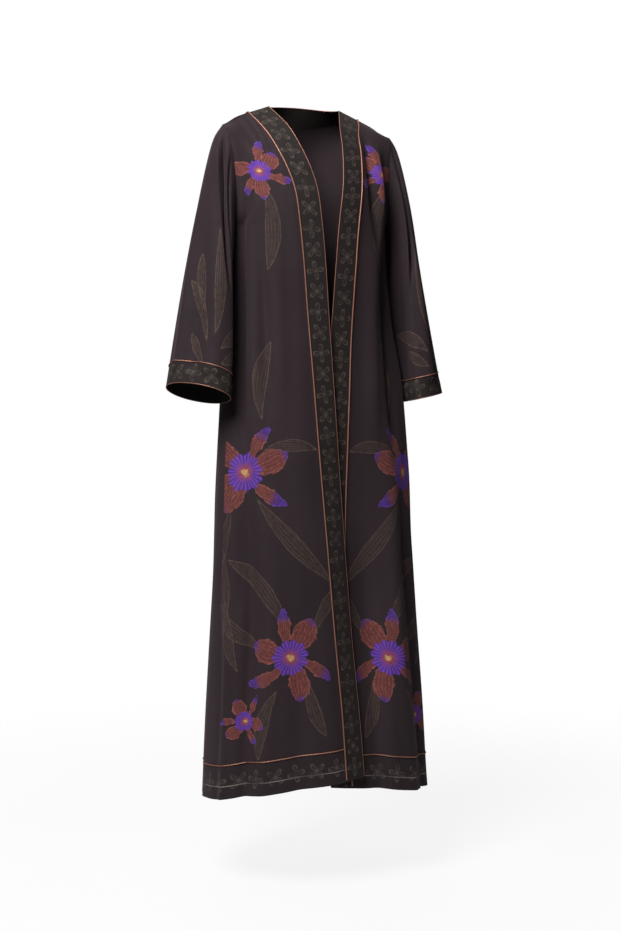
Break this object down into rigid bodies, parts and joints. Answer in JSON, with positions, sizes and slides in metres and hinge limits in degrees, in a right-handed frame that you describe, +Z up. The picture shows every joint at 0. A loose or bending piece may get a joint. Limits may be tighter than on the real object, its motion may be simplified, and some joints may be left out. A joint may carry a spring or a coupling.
{
  "type": "abaya cloak",
  "caption": "Long open-front cloak with wide set-in sleeves, a darker front band, patterned hem and cuff borders and corded piping, held hollow as it is worn",
  "frame": {"origin": "inside of the back neck at the centre-back seam of the band, where the cloak hangs on the nape", "axes": "+X to the wearer's left, +Y to the wearer's back, +Z up; the front opening faces -Y"},
  "size_m": [0.617, 0.3729, 1.4261],
  "materials": {
    "body_cloth": "matte crepe, charcoal plum",
    "band_cloth": "matte crepe, black brown with fine line ornament",
    "hem_cloth": "matte crepe, charcoal plum with fine line ornament",
    "metallic_cord": "twisted copper metallic thread"
  },
  "bodies": {
    "root": {"back": "body_cloth", "band_left": "band_cloth", "band_right": "band_cloth", "cuff_left": "band_cloth", "cuff_right": "band_cloth", "front_left": "body_cloth", "front_right": "body_cloth", "hem_band_back": "hem_cloth", "hem_band_left": "hem_cloth", "hem_band_right": "hem_cloth", "piping_cuff_end_left": "metallic_cord", "piping_cuff_end_right": "metallic_cord", "piping_cuff_top_left": "metallic_cord", "piping_cuff_top_right": "metallic_cord", "piping_edge_left": "metallic_cord", "piping_edge_right": "metallic_cord", "piping_hem_back": "metallic_cord", "piping_hem_left": "metallic_cord", "piping_hem_right": "metallic_cord", "piping_seam_left": "metallic_cord", "piping_seam_right": "metallic_cord", "sleeve_left": "body_cloth", "sleeve_right": "body_cloth"}
  },
  "joints": []
}
